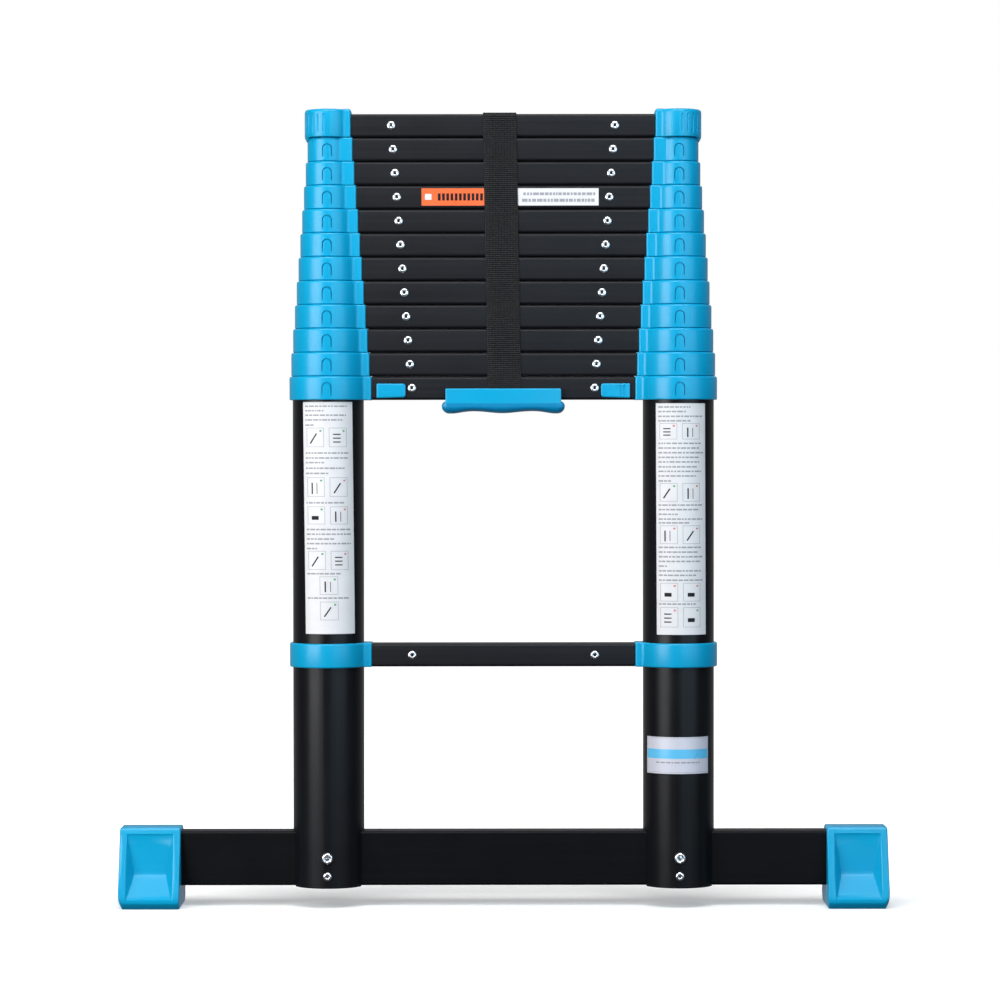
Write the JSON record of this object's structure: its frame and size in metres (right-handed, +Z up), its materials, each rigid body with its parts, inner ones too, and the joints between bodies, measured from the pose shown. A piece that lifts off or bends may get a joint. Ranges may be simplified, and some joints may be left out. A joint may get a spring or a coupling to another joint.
{
  "type": "telescoping ladder",
  "caption": "Telescoping aluminium ladder, closed, with nested round columns, stacked flat rungs, moulded collars, a carry handle, a webbing strap and a wide stabiliser bar with flared feet.",
  "frame": {"origin": "on the ground, midway between the two columns and in the plane of their axes", "axes": "+Z up along the columns, +X to the right seen from the front, -Y out of the front face that carries the thumb tabs"},
  "size_m": [0.838, 0.086, 0.8706],
  "materials": {
    "tube": "black anodised aluminium tube, satin",
    "rung": "black anodised aluminium extrusion with fine ribs",
    "bar": "black powder-coated aluminium box section",
    "collar": "sky-blue moulded nylon, semi-gloss",
    "insert": "black moulded nylon",
    "steel": "bright rivets, bolts, pins and springs",
    "webbing": "black woven polyester webbing"
  },
  "bodies": {
    "base": {"leg_tubes": "tube", "leg_inserts": "insert", "rung_01": "rung", "rung_02": "rung", "collars_01": "collar", "collars_02": "collar", "stabiliser_bar": "bar", "foot_left": "collar", "foot_right": "collar", "carry_handle": "collar", "base_fasteners": "steel"},
    "section_03": {"tubes_03": "tube", "rung_03": "rung", "collars_03": "collar", "hardware_03": "steel"},
    "section_04": {"tubes_04": "tube", "rung_04": "rung", "collars_04": "collar", "hardware_04": "steel"},
    "section_05": {"tubes_05": "tube", "rung_05": "rung", "collars_05": "collar", "hardware_05": "steel"},
    "section_06": {"tubes_06": "tube", "rung_06": "rung", "collars_06": "collar", "hardware_06": "steel"},
    "section_07": {"tubes_07": "tube", "rung_07": "rung", "collars_07": "collar", "hardware_07": "steel"},
    "section_08": {"tubes_08": "tube", "rung_08": "rung", "collars_08": "collar", "hardware_08": "steel"},
    "section_09": {"tubes_09": "tube", "rung_09": "rung", "collars_09": "collar", "hardware_09": "steel"},
    "section_10": {"tubes_10": "tube", "rung_10": "rung", "collars_10": "collar", "hardware_10": "steel"},
    "section_11": {"tubes_11": "tube", "rung_11": "rung", "collars_11": "collar", "hardware_11": "steel"},
    "section_12": {"tubes_12": "tube", "rung_12": "rung", "collars_12": "collar", "hardware_12": "steel"},
    "section_13": {"tubes_13": "tube", "rung_13": "rung", "collars_13": "collar", "hardware_13": "steel", "strap": "webbing"},
    "release_left": {"release_tab_left": "collar", "lock_pin_left": "steel"},
    "release_right": {"release_tab_right": "collar", "lock_pin_right": "steel"}
  },
  "joints": [
    {"name": "slide_03", "type": "slide", "parent": "base", "child": "section_03", "axis": [0, 0, 1], "range_m": [0, 0.266]},
    {"name": "slide_04", "type": "slide", "parent": "section_03", "child": "section_04", "axis": [0, 0, 1], "range_m": [0, 0.266]},
    {"name": "slide_05", "type": "slide", "parent": "section_04", "child": "section_05", "axis": [0, 0, 1], "range_m": [0, 0.266]},
    {"name": "slide_06", "type": "slide", "parent": "section_05", "child": "section_06", "axis": [0, 0, 1], "range_m": [0, 0.266]},
    {"name": "slide_07", "type": "slide", "parent": "section_06", "child": "section_07", "axis": [0, 0, 1], "range_m": [0, 0.266]},
    {"name": "slide_08", "type": "slide", "parent": "section_07", "child": "section_08", "axis": [0, 0, 1], "range_m": [0, 0.266]},
    {"name": "slide_09", "type": "slide", "parent": "section_08", "child": "section_09", "axis": [0, 0, 1], "range_m": [0, 0.266]},
    {"name": "slide_10", "type": "slide", "parent": "section_09", "child": "section_10", "axis": [0, 0, 1], "range_m": [0, 0.266]},
    {"name": "slide_11", "type": "slide", "parent": "section_10", "child": "section_11", "axis": [0, 0, 1], "range_m": [0, 0.266]},
    {"name": "slide_12", "type": "slide", "parent": "section_11", "child": "section_12", "axis": [0, 0, 1], "range_m": [0, 0.266]},
    {"name": "slide_13", "type": "slide", "parent": "section_12", "child": "section_13", "axis": [0, 0, 1], "range_m": [0, 0.266]},
    {"name": "release_left_slide", "type": "slide", "parent": "base", "child": "release_left", "axis": [-1, 0, 0], "range_m": [0, 0.005]},
    {"name": "release_right_slide", "type": "slide", "parent": "base", "child": "release_right", "axis": [1, 0, 0], "range_m": [0, 0.005]}
  ]
}
